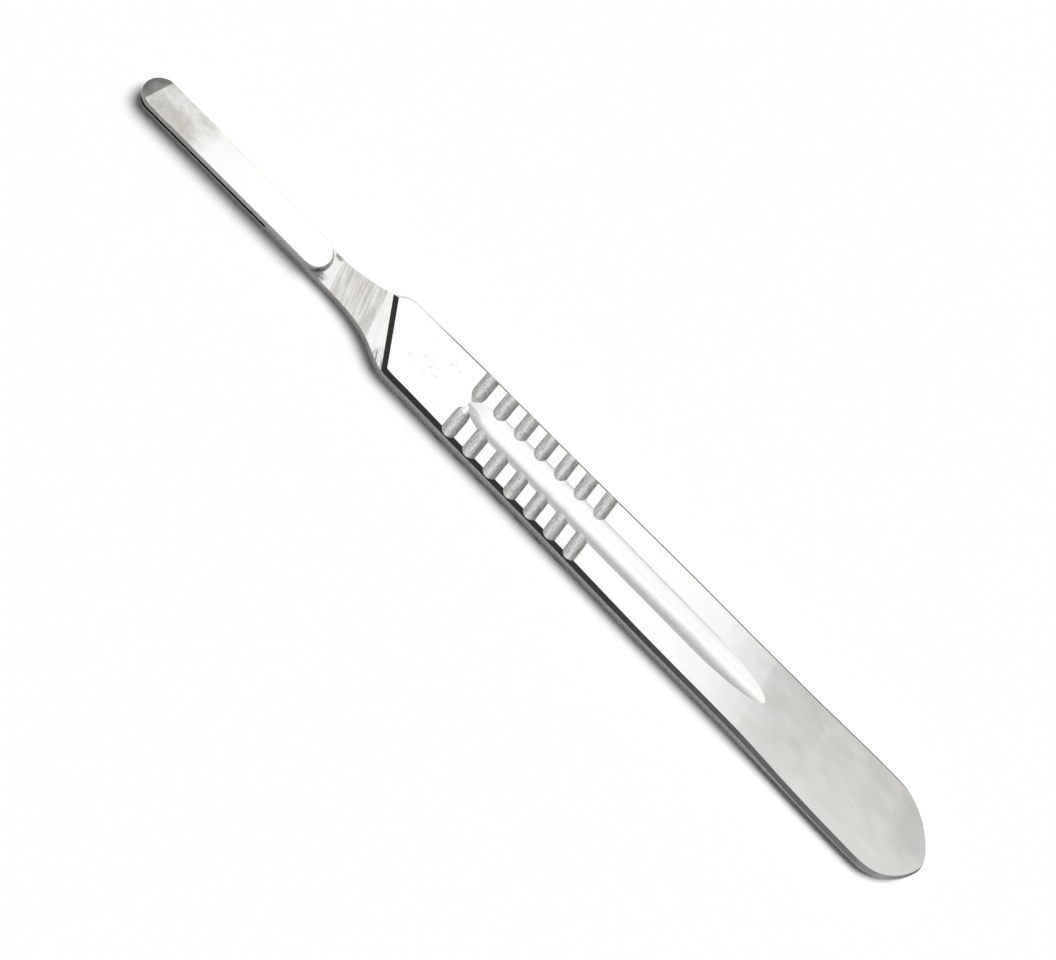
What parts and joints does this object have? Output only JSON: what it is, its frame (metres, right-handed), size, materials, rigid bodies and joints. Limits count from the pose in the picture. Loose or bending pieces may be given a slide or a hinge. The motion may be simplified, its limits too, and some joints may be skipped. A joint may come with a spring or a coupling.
{
  "type": "scalpel handle",
  "caption": "Flat steel scalpel handle with a grooved tongue for a detachable blade, slanted shoulder, fluted grip, leaf-shaped fuller and thinned round tail.",
  "frame": {"origin": "centre of the bounding box in X and Y, on the plane of the flat back face that the handle lies on", "axes": "+X along the handle from the tongue tip to the tail, +Y across its width, +Z out of the face that takes the blade"},
  "size_m": [0.1372, 0.0134, 0.0024],
  "materials": {
    "steel": "satin ground stainless steel with polished lands"
  },
  "bodies": {
    "root": {"scalpel_handle": "steel"}
  },
  "joints": []
}
